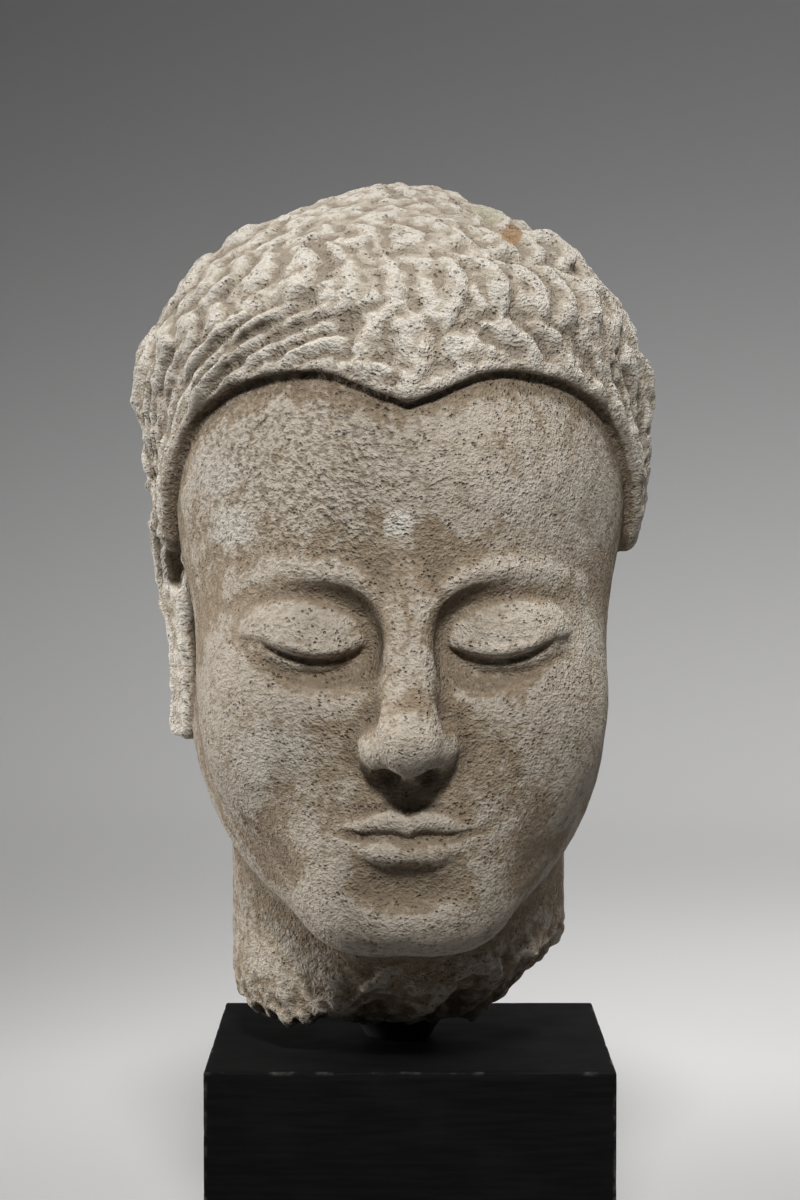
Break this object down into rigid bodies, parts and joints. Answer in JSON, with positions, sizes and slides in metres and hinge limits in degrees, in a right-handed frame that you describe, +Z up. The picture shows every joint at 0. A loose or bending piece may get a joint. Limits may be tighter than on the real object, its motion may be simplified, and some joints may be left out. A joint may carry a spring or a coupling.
{
  "type": "buddha head sculpture",
  "caption": "Life-size stucco head with waved hair and a low crown mound, broken off at the neck, held up by a short post on a square black wooden block.",
  "frame": {"origin": "middle of the block's underside, where it stands on a surface", "axes": "+Z up, -Y the way the face looks, +X to the viewer's right"},
  "size_m": [0.1844, 0.2283, 0.4146],
  "materials": {
    "stucco": null,
    "post_paint": "matt black paint on steel",
    "block_paint": "satin black paint over wood, faint grain, arrises lightly rubbed"
  },
  "bodies": {
    "root": {"head": "stucco", "mount_post": "post_paint", "mount_block": "block_paint"}
  },
  "joints": []
}
